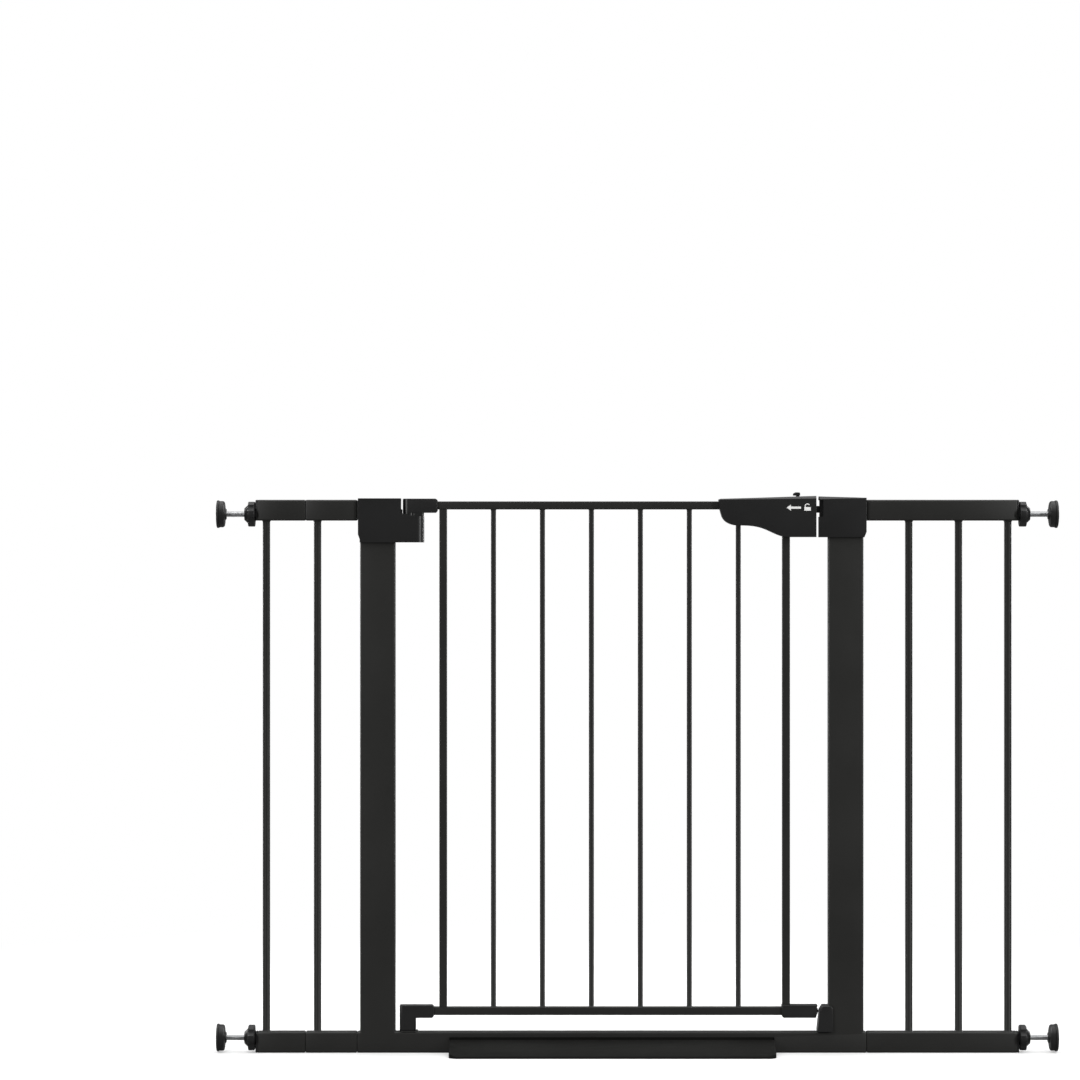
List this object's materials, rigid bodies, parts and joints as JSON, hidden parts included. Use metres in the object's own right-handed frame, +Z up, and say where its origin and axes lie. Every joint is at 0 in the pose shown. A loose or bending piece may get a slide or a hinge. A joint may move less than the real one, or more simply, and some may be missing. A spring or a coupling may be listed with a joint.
{
  "type": "safety baby gate",
  "caption": "Pressure-mounted walk-through safety gate: steel U-frame, swinging barred door with slide latch, side extensions, threaded wall spindles.",
  "frame": {"origin": "on the floor, in the middle of the gate's width and depth", "axes": "+X across the doorway towards the latch side, +Z up, -Y towards the side the handle is seen from"},
  "size_m": [1.172, 0.136, 0.7805],
  "materials": {
    "powder_coat": "satin black powder coat on steel tube",
    "black_plastic": "fine-textured black moulding",
    "ramp_plastic": "textured black moulding",
    "pad_rubber": "smooth black rubber",
    "zinc_steel": "bright zinc-plated threaded rod",
    "spring_steel": "drawn spring wire"
  },
  "bodies": {
    "frame": {"left_post": "powder_coat", "right_post": "powder_coat", "threshold_tube": "powder_coat", "left_top_stub": "powder_coat", "right_top_stub": "powder_coat", "left_inner_top_tube": "powder_coat", "left_inner_bottom_tube": "powder_coat", "left_outer_top_tube": "powder_coat", "left_outer_bottom_tube": "powder_coat", "right_top_tube": "powder_coat", "right_bottom_tube": "powder_coat", "left_inner_bar": "powder_coat", "left_outer_bar": "powder_coat", "right_bar_1": "powder_coat", "right_bar_2": "powder_coat", "right_bar_3": "powder_coat", "left_top_end_plug": "black_plastic", "left_bottom_end_plug": "black_plastic", "right_top_end_plug": "black_plastic", "right_bottom_end_plug": "black_plastic", "hinge_housing_front": "black_plastic", "hinge_housing_rear": "black_plastic", "strike_housing_front": "black_plastic", "strike_housing_rear": "black_plastic", "bottom_stop": "black_plastic", "threshold_ramp_front": "ramp_plastic", "threshold_ramp_rear": "ramp_plastic", "lower_hinge_pin": "powder_coat", "closing_spring": "spring_steel"},
    "hinge_pivot": {"upper_hinge_pin": "zinc_steel"},
    "door": {"door_top_rail": "powder_coat", "door_bottom_rail": "powder_coat", "door_hinge_upright": "powder_coat", "door_latch_upright": "powder_coat", "door_bar_1": "powder_coat", "door_bar_2": "powder_coat", "door_bar_3": "powder_coat", "door_bar_4": "powder_coat", "door_bar_5": "powder_coat", "door_bar_6": "powder_coat", "door_upper_hinge_cap": "black_plastic", "door_lower_hinge_elbow": "black_plastic", "door_foot_cap": "black_plastic", "handle_front_shell": "black_plastic", "handle_rear_shell": "black_plastic", "latch_spring": "spring_steel"},
    "latch": {"latch_bolt": "black_plastic", "slide_button": "black_plastic"},
    "left_top_spindle": {"left_top_spindle_rod": "zinc_steel", "left_top_wall_pad": "pad_rubber"},
    "left_top_nut": {"left_top_star_nut": "black_plastic"},
    "left_bottom_spindle": {"left_bottom_spindle_rod": "zinc_steel", "left_bottom_wall_pad": "pad_rubber"},
    "left_bottom_nut": {"left_bottom_star_nut": "black_plastic"},
    "right_top_spindle": {"right_top_spindle_rod": "zinc_steel", "right_top_wall_pad": "pad_rubber"},
    "right_top_nut": {"right_top_star_nut": "black_plastic"},
    "right_bottom_spindle": {"right_bottom_spindle_rod": "zinc_steel", "right_bottom_wall_pad": "pad_rubber"},
    "right_bottom_nut": {"right_bottom_star_nut": "black_plastic"}
  },
  "joints": [
    {"name": "door_swing", "type": "hinge", "parent": "frame", "child": "hinge_pivot", "pos_m": [-0.3186, 0, 0.74], "axis": [0, 0, 1], "range_deg": [-90, 90], "stiffness_Nm_per_rad": 0.4},
    {"name": "door_lift", "type": "slide", "parent": "hinge_pivot", "child": "door", "axis": [0, 0, 1], "range_m": [0, 0.0035]},
    {"name": "latch_slide", "type": "slide", "parent": "door", "child": "latch", "axis": [-1, 0, 0], "range_m": [0, 0.008], "stiffness_N_per_m": 250, "springref_m": -0.004, "deforming": ["latch_spring"]},
    {"name": "left_top_nut_turn", "type": "hinge", "parent": "frame", "child": "left_top_nut", "pos_m": [-0.54, 0, 0.75], "axis": [-1, 0, 0], "range_deg": [-4330, 4330]},
    {"name": "left_top_spindle_travel", "type": "slide", "parent": "frame", "child": "left_top_spindle", "axis": [-1, 0, 0], "range_m": [-0.015, 0.015]},
    {"name": "left_bottom_nut_turn", "type": "hinge", "parent": "frame", "child": "left_bottom_nut", "pos_m": [-0.54, 0, 0.0202], "axis": [-1, 0, 0], "range_deg": [-4330, 4330]},
    {"name": "left_bottom_spindle_travel", "type": "slide", "parent": "frame", "child": "left_bottom_spindle", "axis": [-1, 0, 0], "range_m": [-0.015, 0.015]},
    {"name": "right_top_nut_turn", "type": "hinge", "parent": "frame", "child": "right_top_nut", "pos_m": [0.54, 0, 0.75], "axis": [1, 0, 0], "range_deg": [-4330, 4330]},
    {"name": "right_top_spindle_travel", "type": "slide", "parent": "frame", "child": "right_top_spindle", "axis": [1, 0, 0], "range_m": [-0.015, 0.015]},
    {"name": "right_bottom_nut_turn", "type": "hinge", "parent": "frame", "child": "right_bottom_nut", "pos_m": [0.54, 0, 0.0202], "axis": [1, 0, 0], "range_deg": [-4330, 4330]},
    {"name": "right_bottom_spindle_travel", "type": "slide", "parent": "frame", "child": "right_bottom_spindle", "axis": [1, 0, 0], "range_m": [-0.015, 0.015]}
  ],
  "couplings": [
    {"joint": "left_top_nut_turn", "follows": "left_top_spindle_travel", "rad_per_m": 5026.5},
    {"joint": "left_bottom_nut_turn", "follows": "left_bottom_spindle_travel", "rad_per_m": 5026.5},
    {"joint": "right_top_nut_turn", "follows": "right_top_spindle_travel", "rad_per_m": 5026.5},
    {"joint": "right_bottom_nut_turn", "follows": "right_bottom_spindle_travel", "rad_per_m": 5026.5}
  ]
}
